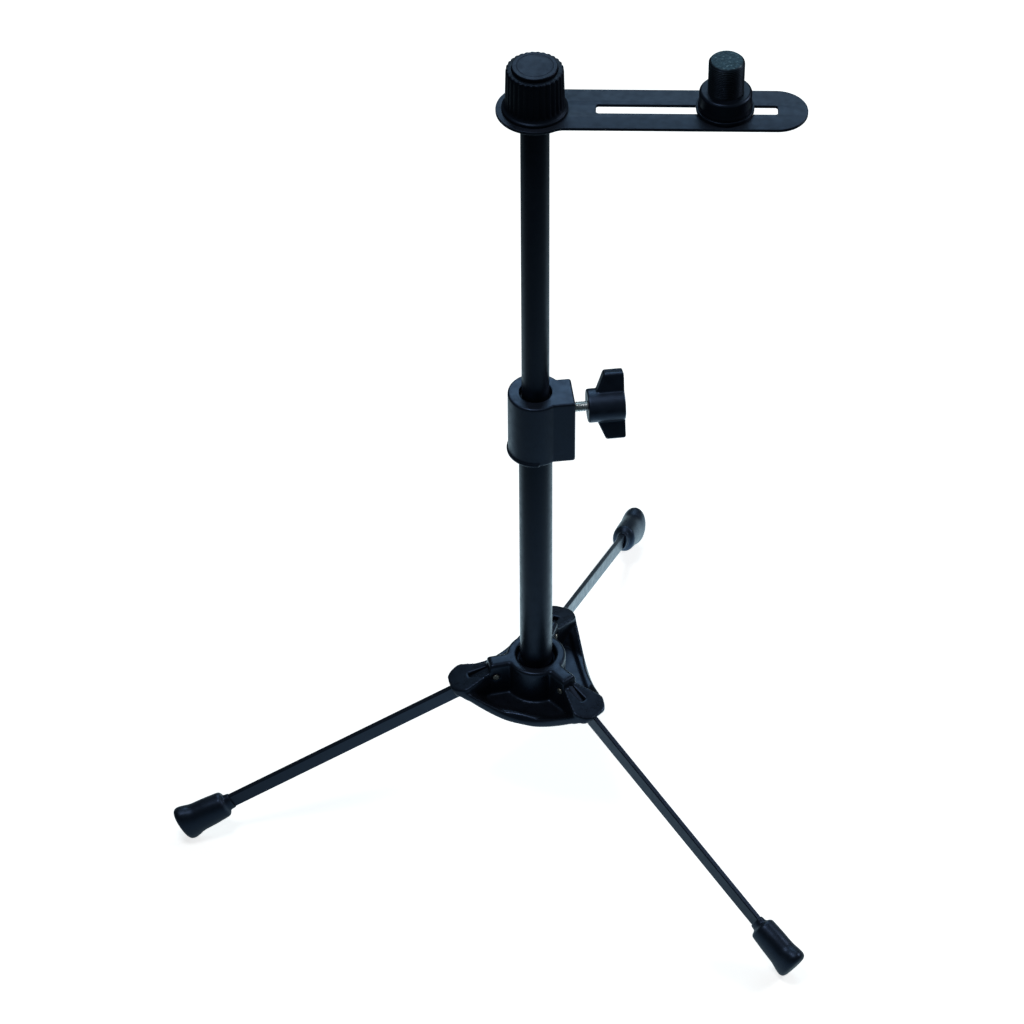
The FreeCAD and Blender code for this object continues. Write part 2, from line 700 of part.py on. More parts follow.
def nodes():
    parts = {
        "hub": hub(),
        "hub_cap": hub_cap(),
        "tube_bolt": tube_bolt(),
        "bolt_washer": bolt_washer(),
        "tube_plug": tube_plug(),
        "leg_pins": leg_pins(),
        "lower_tube": lower_tube(),
        "upper_tube": upper_tube(),
        "guide_sleeve": guide_sleeve(),
        "top_spigot": top_spigot(),
        "clamp_body": clamp_body(),
        "clamp_bush": clamp_bush(),
        "clamp_insert": clamp_insert(),
        "clamp_pad": clamp_pad(),
        "clamp_screw": clamp_screw(),
        "clamp_handle": clamp_handle(),
        "slotted_bar": slotted_bar(),
        "nut_washer": nut_washer(),
        "cap_nut": cap_nut(),
        "nut_insert": nut_insert(),
        "cap_disc": cap_disc(),
        "mic_stud": mic_stud(),
        "stud_base": stud_base(),
        "stud_flange": stud_flange(),
        "slot_washer": slot_washer(),
        "lock_washer": lock_washer(),
        "stud_screw": stud_screw(),
    }
    for name, angle in LEG_ANGLES.items():
        parts[name + "_leg"] = along_leg(leg(), angle)
        parts[name + "_foot"] = along_leg(foot(), angle)
    return parts


os.makedirs("parts", exist_ok=True)
for node, shape in nodes().items():
    shape.exportStep("parts/" + node + ".step")
    print(node, len(shape.Solids), shape.isValid(), round(shape.Volume, 1))
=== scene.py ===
import json
import math

import bmesh
import bpy
from mathutils import Matrix, Vector

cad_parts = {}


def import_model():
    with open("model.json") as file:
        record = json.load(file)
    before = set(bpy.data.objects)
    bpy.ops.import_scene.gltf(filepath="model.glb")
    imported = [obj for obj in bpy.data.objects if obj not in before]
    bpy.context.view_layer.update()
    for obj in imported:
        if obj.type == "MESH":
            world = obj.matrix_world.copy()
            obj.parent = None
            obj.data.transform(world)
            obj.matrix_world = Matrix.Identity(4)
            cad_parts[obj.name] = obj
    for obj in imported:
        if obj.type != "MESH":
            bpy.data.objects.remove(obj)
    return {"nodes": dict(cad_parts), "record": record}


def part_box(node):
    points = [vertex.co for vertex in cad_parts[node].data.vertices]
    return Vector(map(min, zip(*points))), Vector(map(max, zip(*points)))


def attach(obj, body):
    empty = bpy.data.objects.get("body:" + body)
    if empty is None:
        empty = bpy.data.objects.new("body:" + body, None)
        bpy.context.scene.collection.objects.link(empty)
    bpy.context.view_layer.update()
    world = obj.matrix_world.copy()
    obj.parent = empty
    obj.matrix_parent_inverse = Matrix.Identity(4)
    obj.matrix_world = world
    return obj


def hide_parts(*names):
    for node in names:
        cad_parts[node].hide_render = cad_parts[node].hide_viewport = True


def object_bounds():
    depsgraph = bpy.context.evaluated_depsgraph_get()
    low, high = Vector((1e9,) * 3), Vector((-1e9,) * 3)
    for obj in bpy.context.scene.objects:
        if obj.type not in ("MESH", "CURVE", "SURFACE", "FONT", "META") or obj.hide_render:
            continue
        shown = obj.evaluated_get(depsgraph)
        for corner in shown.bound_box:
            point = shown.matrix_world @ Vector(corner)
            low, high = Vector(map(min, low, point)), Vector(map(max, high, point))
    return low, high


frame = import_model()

# Looks for a small folding tripod stand with a slotted bar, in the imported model's frame.
# Blender works in metres. The object's sizes are in millimetres and degrees here, and the stage's in metres.

CAD_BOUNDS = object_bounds()
RECORD = frame["record"]
BODY_OF = {n: body for body, names in RECORD["behaviour"]["bodies"].items() for n in names}
MM = 0.001
TAU = 2 * math.pi

# Leg directions seen from above, their slope below level, and the circle and height of their pivots.
LEG_ANGLES = {"back": 74.0, "left": 194.0, "right": 314.0}
LEG_SLOPE = 24.2
PIVOT_RADIUS = 21.4
PIVOT_Z = 15.9

# Bores of the column's two tubes.
LOWER_BORE = 6.9
UPPER_BORE = 5.4

# Clamp screw: height and direction of its axis, and the distances of its ends from the column's axis.
SCREW_Z = 188.0
CLAMP_YAW = 8.0
SCREW_START = 8.6
SCREW_END = 37.0


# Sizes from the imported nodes' own boxes


def box_mm(node):
    low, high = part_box(node)
    return low / MM, high / MM


def radius_of(node):
    low, high = box_mm(node)
    return (high.x - low.x) / 2


def heights(node):
    low, high = box_mm(node)
    return low.z, high.z


def centre_x(node):
    low, high = box_mm(node)
    return (high.x + low.x) / 2


# Mesh helpers


def add_piece(name, mesh, node, finish):
    """Link a mesh given in millimetres as the painted piece that stands for this node."""
    mesh.transform(Matrix.Scale(MM, 4))
    piece = bpy.data.objects.new(name, mesh)
    bpy.context.scene.collection.objects.link(piece)
    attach(piece, BODY_OF[node])
    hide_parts(node)
    smooth(mesh)
    paint(piece, finish)


def paint(piece, finish):
    piece.data.materials.clear()
    piece.data.materials.append(finish.material)


SHARP_ANGLE = 38


def smooth(mesh):
    """Shade smoothly, except across edges that turn more than the sharp angle."""
    mesh.polygons.foreach_set("use_smooth", [True] * len(mesh.polygons))
    bm = bmesh.new()
    bm.from_mesh(mesh)
    limit = math.radians(SHARP_ANGLE)
    for edge in bm.edges:
        edge.smooth = not (edge.is_manifold and edge.calc_face_angle(0) > limit)
    bm.to_mesh(mesh)
    bm.free()
    mesh.update()


def grid_mesh(name, rows, close_ends=False):
    """Skin closed rings of points. A ring of one point closes that end as a fan."""
    bm = bmesh.new()
    rings = [[bm.verts.new(point) for point in row] for row in rows]
    for lower, upper in zip(rings, rings[1:]):
        count = max(len(lower), len(upper))
        for step in range(count):
            following = (step + 1) % count
            if len(lower) == 1:
                corners = (lower[0], upper[following], upper[step])
            elif len(upper) == 1:
                corners = (lower[step], lower[following], upper[0])
            else:
                corners = (lower[step], lower[following], upper[following], upper[step])
            bm.faces.new(corners)
    if close_ends:
        first, last = rings[0], rings[-1]
        for step in range(len(first)):
            following = (step + 1) % len(first)
            bm.faces.new((last[step], last[following], first[following], first[step]))
    bmesh.ops.recalc_face_normals(bm, faces=bm.faces)
    mesh = bpy.data.meshes.new(name)
    bm.to_mesh(mesh)
    bm.free()
    return mesh


# Lengths below the first two count as being on the axis, or as no corner to round.
# The third is the largest share of an edge that a rounded corner takes.
ON_AXIS = 1e-6
NO_CORNER = 1e-4
CORNER_SHARE = 0.45


def lathe(name, profile, segments=128, x=0.0, shape=None, loop=False):
    """Turn a profile of (radius, z) round a vertical axis at x. shape(radius, z, angle) varies the radius."""
    rows = []
    for radius, z in profile:
        if radius < ON_AXIS:
            rows.append([(x, 0, z)])
            continue
        ring = []
        for step in range(segments):
            angle = TAU * step / segments
            reach = shape(radius, z, angle) if shape else radius
            ring.append((x + reach * math.cos(angle), reach * math.sin(angle), z))
        rows.append(ring)
    return grid_mesh(name, rows, close_ends=loop)


def rounded(points, radius=0.4, steps=4, closed=False):
    """Replace each corner of a profile by a curve of about that radius. An open one keeps its two ends."""
    out = []
    count = len(points)
    for index, point in enumerate(points):
        if not closed and index in (0, count - 1):
            out.append(point)
            continue
        corner = Vector(point)
        before = Vector(points[index - 1]) - corner
        after = Vector(points[(index + 1) % count]) - corner
        cut = min(radius, before.length * CORNER_SHARE, after.length * CORNER_SHARE)
        if cut < NO_CORNER:
            out.append(point)
            continue
        start = corner + before.normalized() * cut
        end = corner + after.normalized() * cut
        for step in range(steps + 1):
            t = step / steps
            spot = start * (1 - t) ** 2 + corner * 2 * t * (1 - t) + end * t * t
            out.append(tuple(spot))
    return out


def clamped(value):
    return min(max(value, 0.0), 1.0)


SAME_RADIUS = 1e-6
THREAD_FLAT = 0.12


def thread_radius(major, pitch, depth, z, angle, start, end, taper):
    """Radius of a right-handed screw thread with flat crests and roots, fading out at both ends."""
    phase = (z / pitch - angle / TAU) % 1.0
    tooth = clamped((abs(phase * 2 - 1) - THREAD_FLAT) / (1 - 2 * THREAD_FLAT))
    room = clamped(min(z - start, end - z) / taper)
    return major - depth * (1 - tooth) * room


def spaced(low, high, step):
    """Evenly spaced values from low to high, no further apart than step."""
    count = max(1, math.ceil((high - low) / step))
    return [low + (high - low) * index / count for index in range(count + 1)]


WELD_DISTANCE = 0.001
RELAX_SHARE = 0.5
FLAT_ANGLE = 0.5
BEVEL_ANGLE = 35


def soften(node, finish, voxel, rounds):
    """Round and paint a moulded CAD node with modifiers, leaving its own mesh alone."""
    piece = frame["nodes"][node]
    weld = piece.modifiers.new("weld", "WELD")
    weld.merge_threshold = WELD_DISTANCE * MM
    remesh = piece.modifiers.new("remesh", "REMESH")
    remesh.mode = "VOXEL"
    remesh.voxel_size = voxel * MM
    remesh.use_smooth_shade = True
    relax = piece.modifiers.new("relax", "SMOOTH")
    relax.factor = RELAX_SHARE
    relax.iterations = rounds
    paint(piece, finish)


def crisp(node, finish, width, segments=3):
    """Bevel and paint a hard CAD node with modifiers, leaving its own mesh alone."""
    piece = frame["nodes"][node]
    weld = piece.modifiers.new("weld", "WELD")
    weld.merge_threshold = WELD_DISTANCE * MM
    flat = piece.modifiers.new("flat", "DECIMATE")
    flat.decimate_type = "DISSOLVE"
    flat.angle_limit = math.radians(FLAT_ANGLE)
    bevel = piece.modifiers.new("bevel", "BEVEL")
    bevel.width = width * MM
    bevel.segments = segments
    bevel.limit_method = "ANGLE"
    bevel.angle_limit = math.radians(BEVEL_ANGLE)
    bevel.harden_normals = False
    paint(piece, finish)


# Materials


SPECULAR_TINT = (0.66, 1.0, 1.75, 1)


class Finish:
    """A node material built in millimetre coordinates of the object."""

    def __init__(self, name, colour, roughness, ior=1.45, metallic=0.0):
        self.material = bpy.data.materials.new(name)
        self.material.use_nodes = True
        self.tree = self.material.node_tree
        self.shader = self.tree.nodes["Principled BSDF"]
        self.shader.inputs["Base Color"].default_value = (*colour, 1)
        self.shader.inputs["Roughness"].default_value = roughness
        self.shader.inputs["IOR"].default_value = ior
        self.shader.inputs["Metallic"].default_value = metallic
        if not metallic:
            self.shader.inputs["Specular Tint"].default_value = SPECULAR_TINT
        coords = self.tree.nodes.new("ShaderNodeTexCoord")
        self.place = self.tree.nodes.new("ShaderNodeVectorMath")
        self.place.operation = "SCALE"
        self.place.inputs["Scale"].default_value = 1 / MM
        self.tree.links.new(coords.outputs["Object"], self.place.inputs[0])
        self.last_normal = None

    def link(self, a, b):
        self.tree.links.new(a, b)

    def noise(self, scale, detail=3.0, stretch=(1, 1, 1), seed=0.0):
        """Noise with features about 1/scale millimetres wide."""
        mapping = self.tree.nodes.new("ShaderNodeMapping")
        mapping.inputs["Scale"].default_value = stretch
        mapping.inputs["Location"].default_value = (seed, seed * 0.7, seed * 0.3)
        self.link(self.place.outputs[0], mapping.inputs["Vector"])
        texture = self.tree.nodes.new("ShaderNodeTexNoise")
        texture.inputs["Scale"].default_value = scale
        texture.inputs["Detail"].default_value = detail
        self.link(mapping.outputs[0], texture.inputs["Vector"])
        return texture.outputs["Fac"]

    def ramp(self, value, low, high, out_low=0.0, out_high=1.0):
        """Carry the range low to high onto another range, clamped at its ends."""
        node = self.tree.nodes.new("ShaderNodeMapRange")
        node.inputs["From Min"].default_value = low
        node.inputs["From Max"].default_value = high
        node.inputs["To Min"].default_value = out_low
        node.inputs["To Max"].default_value = out_high
        self.link(value, node.inputs["Value"])
        return node.outputs["Result"]

    def maths(self, operation, a, b):
        """Sum, product and so on of two values, each a number or another node's output."""
        node = self.tree.nodes.new("ShaderNodeMath")
        node.operation = operation
        for index, value in enumerate((a, b)):
            if isinstance(value, (int, float)):
                node.inputs[index].default_value = value
            else:
                self.link(value, node.inputs[index])
        return node.outputs[0]

    def mix_colour(self, factor, first, second):
        """Blend two colours, each a triple or another node's output."""
        node = self.tree.nodes.new("ShaderNodeMix")
        node.data_type = "RGBA"
        self.link(factor, node.inputs["Factor"])
        for name, value in (("A", first), ("B", second)):
            place = [s for s in node.inputs if s.name == name and s.type == "RGBA"][0]
            if isinstance(value, tuple):
                place.default_value = (*value, 1)
            else:
                self.link(value, place)
        return [s for s in node.outputs if s.type == "RGBA"][0]

    def bump(self, height, distance):
        """Add a bump whose height field is worth distance millimetres."""
        node = self.tree.nodes.new("ShaderNodeBump")
        node.inputs["Distance"].default_value = distance * MM
        node.inputs["Strength"].default_value = 1.0
        self.link(height, node.inputs["Height"])
        if self.last_normal is not None:
            self.link(self.last_normal, node.inputs["Normal"])
        self.last_normal = node.outputs["Normal"]
        self.link(self.last_normal, self.shader.inputs["Normal"])

    def set(self, name, value):
        """Give the shader's input a number or another node's output."""
        if isinstance(value, (int, float)):
            self.shader.inputs[name].default_value = value
        else:
            self.link(value, self.shader.inputs[name])


def moulded(name, colour, lighter, roughness, grain, ior=1.4, bump=0.012):
    """Satin moulded plastic: fine spark-eroded grain, soft flow marks, handled patches."""
    finish = Finish(name, colour, roughness, ior)
    cloudy = finish.noise(0.09, 4)
    finish.set("Base Color", finish.mix_colour(finish.ramp(cloudy, 0.3, 0.75), colour, lighter))
    handled = finish.noise(0.25, 5, seed=11)
    fine = finish.noise(grain * 0.6, 2, seed=5)
    rough = finish.ramp(handled, 0.3, 0.7, roughness - 0.07, roughness + 0.08)
    finish.set("Roughness", finish.maths("ADD", rough, finish.ramp(fine, 0.3, 0.7, -0.04, 0.04)))
    finish.bump(finish.noise(grain, 3, seed=2), bump)
    finish.bump(finish.noise(0.35, 2, seed=7), 0.03)
    return finish


def painted(name, colour, lighter, roughness, ior=1.36, stretch=(1, 1, 1), worn=0.0):
    """Powder coat: orange peel, fine grain and faint rubbed streaks."""
    finish = Finish(name, colour, roughness, ior)
    cloudy = finish.noise(0.07, 4, seed=3)
    base = finish.mix_colour(finish.ramp(cloudy, 0.3, 0.75), colour, lighter)
    streaks = finish.noise(1.6, 4, stretch=stretch, seed=9)
    rubbed = finish.ramp(streaks, 0.62, 0.76)
    if worn:
        rub_colour = tuple(min(1, c + worn) for c in lighter)
        base = finish.mix_colour(finish.maths("MULTIPLY", rubbed, 0.5), base, rub_colour)
    finish.set("Base Color", base)
    rough = finish.ramp(finish.noise(0.3, 4, seed=13), 0.3, 0.7, roughness - 0.05, roughness + 0.07)
    finish.set("Roughness", finish.maths("SUBTRACT", rough, finish.maths("MULTIPLY", rubbed, 0.05)))
    finish.bump(finish.noise(1.5, 2, seed=1), 0.02)
    finish.bump(finish.noise(6.0, 2, seed=4), 0.004)
    return finish


GRIME = 0.5


def metal(name, colour, darker, roughness):
    """Machined or plated metal: fine uneven wear, dull patches and grime."""
    finish = Finish(name, colour, roughness, metallic=1.0)
    patch = finish.ramp(finish.noise(0.5, 5, seed=6), 0.45, 0.75)
    finish.set("Base Color", finish.mix_colour(finish.maths("MULTIPLY", patch, GRIME), colour, darker))
    wear = finish.noise(2.0, 3, seed=8)
    finish.set("Roughness", finish.ramp(wear, 0.3, 0.7, roughness - 0.08, roughness + 0.12))
    finish.bump(wear, 0.006)
    return finish


HUB_BLACK = (0.0055, 0.0072, 0.0115)
HUB_LIGHTER = (0.0085, 0.0105, 0.016)
NUT_BLACK = (0.0028, 0.0042, 0.0075)
NUT_LIGHTER = (0.004, 0.006, 0.010)
DISC_BLACK = (0.005, 0.0066, 0.0105)
NYLON_GREY = (0.03, 0.033, 0.036)
NYLON_LIGHTER = (0.045, 0.048, 0.05)
PAINT_BLACK = (0.0058, 0.0078, 0.0125)
PAINT_LIGHTER = (0.0085, 0.011, 0.017)
BASE_BLACK = (0.003, 0.0045, 0.008)
BASE_LIGHTER = (0.0045, 0.0065, 0.011)
RUBBER_BLACK = (0.0050, 0.0062, 0.0095)
RUBBER_LIGHTER = (0.0085, 0.0098, 0.0135)
ALONG_TUBE = (3, 3, 0.06)
ALONG_BAR = (0.3, 1.4, 1)

hub_plastic = moulded("hub_plastic", HUB_BLACK, HUB_LIGHTER, 0.33, 5.0, ior=1.38)
clamp_plastic = moulded("clamp_plastic", HUB_BLACK, HUB_LIGHTER, 0.38, 4.0, ior=1.5, bump=0.016)
knob_plastic = moulded("knob_plastic", NUT_BLACK, NUT_LIGHTER, 0.42, 6.0, ior=1.26)
handle_plastic = moulded("handle_plastic", HUB_BLACK, HUB_LIGHTER, 0.4, 5.0, ior=1.6)
disc_plastic = moulded("disc_plastic", DISC_BLACK, HUB_LIGHTER, 0.5, 7.0, ior=1.42)
nylon = moulded("nylon", NYLON_GREY, NYLON_LIGHTER, 0.5, 3.0, ior=1.5)
leg_paint = painted("leg_paint", PAINT_BLACK, PAINT_LIGHTER, 0.36, ior=1.42, worn=0.006)
tube_paint = painted("tube_paint", PAINT_BLACK, PAINT_LIGHTER, 0.36, stretch=ALONG_TUBE, worn=0.006)
bar_paint = painted("bar_paint", PAINT_BLACK, PAINT_LIGHTER, 0.40, stretch=ALONG_BAR, worn=0.008)
base_paint = painted("base_paint", BASE_BLACK, BASE_LIGHTER, 0.36, ior=1.28)
bright_steel = metal("bright_steel", (0.86, 0.90, 0.92), (0.50, 0.53, 0.55), 0.34)
pin_steel = metal("pin_steel", (0.34, 0.32, 0.29), (0.16, 0.15, 0.13), 0.38)
brass = metal("brass", (0.72, 0.55, 0.28), (0.35, 0.25, 0.12), 0.28)


def rubber_finish():
    """Soft rubber: matte, with a faint dusty bloom and fine pores."""
    finish = Finish("rubber", RUBBER_BLACK, 0.45, 1.44)
    bloom = finish.noise(0.3, 5, seed=21)
    finish.set("Base Color", finish.mix_colour(finish.ramp(bloom, 0.4, 0.8), RUBBER_BLACK, RUBBER_LIGHTER))
    finish.set("Roughness", finish.ramp(finish.noise(1.2, 4, seed=17), 0.3, 0.7, 0.34, 0.50))
    finish.bump(finish.noise(5.0, 3, seed=15), 0.016)
    finish.bump(finish.noise(0.5, 2, seed=18), 0.04)
    return finish


STEEL_DARK = (0.002, 0.0035, 0.006)
STEEL_LIGHTER = (0.006, 0.009, 0.013)
# Lighter grey for the crests near the top: partly worn bare metal, partly painted highlight.
CREST_WEAR_AND_HIGHLIGHT_GREY = (0.018, 0.027, 0.037)
# Lighter greys for the stud's end face: partly worn bare metal, partly painted highlight.
END_WEAR_AND_HIGHLIGHT_GREY = (0.035, 0.055, 0.075)
END_SPOTS = (0.16, 0.22, 0.25)
WORN_METALLIC = 0.6


def crest_wear_and_highlight(finish, x, y, height, centre, major, top):
    """Mask of the thread's crests round a vertical axis, strongest near the top, where the crests are painted
    lighter as worn metal and painted highlight.
    """
    across = finish.maths("POWER", finish.maths("SUBTRACT", x, centre), 2)
    along = finish.maths("POWER", y, 2)
    radial = finish.maths("POWER", finish.maths("ADD", across, along), 0.5)
    crest = finish.ramp(radial, major - 0.32, major - 0.1)
    return finish.maths("MULTIPLY", crest, finish.ramp(height, top - 7.0, top - 1.5, 0.15, 1.0))


def stud_finish(top, centre, major):
    """Blackened steel, lighter grey on the stud's end face and along its crests near the top: partly worn
    bare metal, partly painted highlight.
    """
    finish = Finish("dark_steel", STEEL_LIGHTER, 0.42, ior=1.18)
    split = finish.tree.nodes.new("ShaderNodeSeparateXYZ")
    finish.link(finish.place.outputs[0], split.inputs[0])
    x, y, height = split.outputs
    # The end face and the top of its chamfer are painted lighter grey, partly as wear and partly as painted
    # highlight.
    on_top = finish.ramp(height, top - 0.5, top - 0.1)
    scuffs = finish.ramp(finish.noise(0.9, 5, seed=31), 0.42, 0.62)
    spots = finish.ramp(finish.noise(0.7, 3, seed=39), 0.60, 0.70)
    wear = finish.maths("MULTIPLY", on_top, finish.maths("ADD", finish.maths("MULTIPLY", scuffs, 0.5), 0.5))
    # Crests near the top are painted lighter, partly as wear and partly as painted highlight.
    crests = crest_wear_and_highlight(finish, x, y, height, centre, major, top)
    dark = finish.mix_colour(finish.noise(0.4, 4, seed=33), STEEL_DARK, STEEL_LIGHTER)
    side = finish.mix_colour(crests, dark, CREST_WEAR_AND_HIGHLIGHT_GREY)
    end = finish.mix_colour(spots, END_WEAR_AND_HIGHLIGHT_GREY, END_SPOTS)
    finish.set("Base Color", finish.mix_colour(wear, side, end))
    bare = finish.maths("MAXIMUM", on_top, crests)
    finish.set("Metallic", finish.maths("MULTIPLY", bare, WORN_METALLIC))
    finish.set("Roughness", finish.ramp(finish.noise(1.5, 4, seed=35), 0.3, 0.7, 0.30, 0.50))
    finish.bump(finish.noise(2.5, 4, seed=37), 0.02)
    return finish


rubber = rubber_finish()
dark_steel = stud_finish(heights("mic_stud")[1], centre_x("mic_stud"), radius_of("mic_stud"))


# Tubes


def outer_tube():
    low, high = heights("lower_tube")
    outer = radius_of("lower_tube")
    corners = [(LOWER_BORE, low), (outer, low), (outer, high), (LOWER_BORE, high)]
    mesh = lathe("outer_tube", rounded(corners, 0.35, closed=True), loop=True)
    add_piece("outer_tube", mesh, "lower_tube", tube_paint)


GROOVE_RADIUS = 6.0
GROOVE_PLAY = 0.05


def inner_tube():
    """The inner tube, with the guide sleeve's groove near its foot."""
    low, high = heights("upper_tube")
    outer = radius_of("upper_tube")
    sleeve_low, sleeve_high = heights("guide_sleeve")
    groove_low, groove_high = sleeve_low - GROOVE_PLAY, sleeve_high + GROOVE_PLAY
    corners = [
        (UPPER_BORE, low),
        (outer, low),
        (outer, groove_low),
        (GROOVE_RADIUS, groove_low),
        (GROOVE_RADIUS, groove_high),
        (outer, groove_high),
        (outer, high),
        (UPPER_BORE, high),
    ]
    mesh = lathe("inner_tube", rounded(corners, 0.2, 3, closed=True), loop=True)
    add_piece("inner_tube", mesh, "upper_tube", tube_paint)


outer_tube()
inner_tube()


# Legs and feet


def along_leg(point, angle):
    """Carry a point given along +X from the pivot onto the leg at that angle."""
    slope = math.radians(LEG_SLOPE)
    x = PIVOT_RADIUS + point[0] * math.cos(slope) + point[2] * math.sin(slope)
    z = PIVOT_Z - point[0] * math.sin(slope) + point[2] * math.cos(slope)
    turn = math.radians(angle)
    across = point[1]
    return (x * math.cos(turn) - across * math.sin(turn), x * math.sin(turn) + across * math.cos(turn), z)


# Boot sections along the leg: reach, half height and half width.
BOOT_SECTIONS = [
    (149.75, 4.3, 1.9),
    (149.4, 4.5, 2.4),
    (149.55, 4.75, 2.8),
    (150.2, 4.85, 3.0),
    (151.8, 4.95, 3.3),
    (152.5, 5.4, 3.9),
    (153.0, 6.2, 5.0),
    (153.6, 6.8, 5.7),
    (154.6, 7.2, 6.1),
    (157.5, 7.6, 6.2),
    (162.0, 8.15, 6.28),
    (166.0, 8.4, 6.3),
    (168.6, 8.55, 6.35),
    (170.4, 9.0, 6.42),
    (172.0, 9.75, 6.5),
    (173.8, 10.4, 6.58),
    (175.2, 10.7, 6.62),
    (176.3, 10.6, 6.55),
    (177.3, 10.1, 6.2),
    (178.0, 9.2, 5.5),
    (178.35, 8.0, 4.6),
]


BOOT_MOUTH = 150.3
BOOT_POINTS = 80
BOOT_SQUARENESS = 0.95
SEAM_HEIGHT = 0.1
SEAM_SHARPNESS = 300
SEAM_REACH = (154, 178)


def spline(points, steps):
    """Catmull-Rom curve through points of any dimension."""
    out = []
    padded = [points[0]] + points + [points[-1]]
    for index in range(1, len(padded) - 2):
        a, b, c, d = (Vector(p) for p in padded[index - 1:index + 3])
        slope = c - a
        bend = 2 * a - 5 * b + 4 * c - d
        twist = 3 * b - a - 3 * c + d
        for step in range(steps):
            t = step / steps
            out.append(tuple(b + 0.5 * (slope * t + bend * t * t + twist * t ** 3)))
    out.append(points[-1])
    return out


def squarish(value):
    """Sine or cosine pushed outwards a little, which makes an ellipse slightly squarer."""
    return math.copysign(abs(value) ** BOOT_SQUARENESS, value)


def boot_mesh(name, angle):
    """Oval rubber boot: rolled neck, abrupt shoulder, long body, flared rim and two fine moulding seams."""
    mouth = [(BOOT_MOUTH, 4.15, 1.35)]
    end = [(178.4, 6.0, 3.4), (178.3, 3.0, 1.7)]
    rows = [[along_leg((BOOT_MOUTH, 0, 0), angle)]]
    for reach, tall, wide in mouth + spline(BOOT_SECTIONS, 4) + end:
        seamed = SEAM_REACH[0] < reach < SEAM_REACH[1]
        ring = []
        for step in range(BOOT_POINTS):
            turn = TAU * step / BOOT_POINTS
            seam = SEAM_HEIGHT * abs(math.sin(turn)) ** SEAM_SHARPNESS if seamed else 0.0
            side = squarish(math.cos(turn)) * wide
            height = squarish(math.sin(turn)) * (tall + seam)
            ring.append(along_leg((reach, side, height), angle))
        rows.append(ring)
    rows.append([along_leg((178.2, 0, 0), angle)])
    return grid_mesh(name, rows)


for leg_name, leg_angle in LEG_ANGLES.items():
    boot_name = leg_name + "_boot"
    add_piece(boot_name, boot_mesh(boot_name, leg_angle), leg_name + "_foot", rubber)
    crisp(leg_name + "_leg", leg_paint, 0.25)


# Hub and its fixings

soften("hub", hub_plastic, 0.45, 20)
crisp("hub_cap", hub_plastic, 0.3)
for fixing in ("tube_bolt", "bolt_washer", "tube_plug"):
    crisp(fixing, bright_steel, 0.15, 2)
crisp("leg_pins", pin_steel, 0.15, 2)


# Clamp and the small parts inside it

soften("clamp_body", clamp_plastic, 0.32, 6)
soften("clamp_handle", handle_plastic, 0.3, 8)
for small in ("clamp_bush", "clamp_pad", "guide_sleeve", "nut_washer"):
    crisp(small, nylon, 0.15, 2)
for small in ("clamp_insert", "nut_insert"):
    crisp(small, brass, 0.15, 2)


def screw_frame():
    """Matrix that carries +Z at the origin onto the clamp screw's axis."""
    turn = Matrix.Rotation(math.radians(90), 4, "Y")
    lift = Matrix.Translation((0, 0, SCREW_Z))
    yaw = Matrix.Rotation(math.radians(CLAMP_YAW), 4, "Z")
    return yaw @ lift @ turn


def threaded_rod(name, before, after, major, pitch, depth, low, high, taper, segments):
    """Rod with a real helical thread between two heights and plain profiles before and after it."""
    rows = [(major, z) for z in spaced(low, high, pitch / 8)]

    def shape(radius, z, angle):
        if low <= z <= high and abs(radius - major) < SAME_RADIUS:
            return thread_radius(major, pitch, depth, z, angle, low, high, taper)
        return radius

    return lathe(name, before + rows + after, segments, shape=shape)


def clamp_bolt():
    """M5 screw with a dog point."""
    tip = [(0, SCREW_START), (1.7, SCREW_START), (2.1, SCREW_START + 0.3)]
    head = [(2.1, SCREW_END), (0, SCREW_END)]
    low, high = SCREW_START + 0.5, SCREW_END - 0.2
    mesh = threaded_rod("clamp_bolt", tip, head, 2.5, 0.8, 0.43, low, high, 0.8, 48)
    mesh.transform(screw_frame())
    add_piece("clamp_bolt", mesh, "clamp_screw", bright_steel)


clamp_bolt()


# Bar


def plate_mesh(name, outlines, low, high, edge):
    """Flat plate with holes and edges of that radius, from closed plan outlines."""
    curve = bpy.data.curves.new(name, "CURVE")
    curve.dimensions = "2D"
    curve.fill_mode = "BOTH"
    for points in outlines:
        path = curve.splines.new("POLY")
        path.points.add(len(points) - 1)
        for spot, (x, y) in zip(path.points, points):
            spot.co = (x, y, 0, 1)
        path.use_cyclic_u = True
    half = (high - low) / 2
    curve.extrude = half - edge
    curve.bevel_depth = edge
    curve.bevel_resolution = 3
    curve.offset = -edge
    holder = bpy.data.objects.new(name, curve)
    bpy.context.scene.collection.objects.link(holder)
    bpy.context.view_layer.update()
    graph = bpy.context.evaluated_depsgraph_get()
    mesh = bpy.data.meshes.new_from_object(holder.evaluated_get(graph), depsgraph=graph)
    bpy.data.objects.remove(holder)
    mesh.transform(Matrix.Translation((0, 0, (low + high) / 2)))
    bm = bmesh.new()
    bm.from_mesh(mesh)
    bmesh.ops.remove_doubles(bm, verts=bm.verts, dist=1e-4)
    bmesh.ops.recalc_face_normals(bm, faces=bm.faces)
    bm.to_mesh(mesh)
    bm.free()
    return mesh


def arc(x, y, radius, start, end, steps):
    """Points of an arc round (x, y) from one direction to another."""
    angles = [math.radians(start + (end - start) * step / steps) for step in range(steps + 1)]
    return [(x + radius * math.cos(a), y + radius * math.sin(a)) for a in angles]


BAR_HEAD_RADIUS = 17.3
BAR_HALF_WIDTH = 13.85
BAR_END_CENTRE = 105.75
BAR_NECK_RADIUS = 9.0
SLOT_START = 26.8
SLOT_END = 106.3
SLOT_HALF_WIDTH = 3.05
SLOT_CORNER = 1.2
SPIGOT_HOLE = 5.05
PLATE_EDGE = 0.25


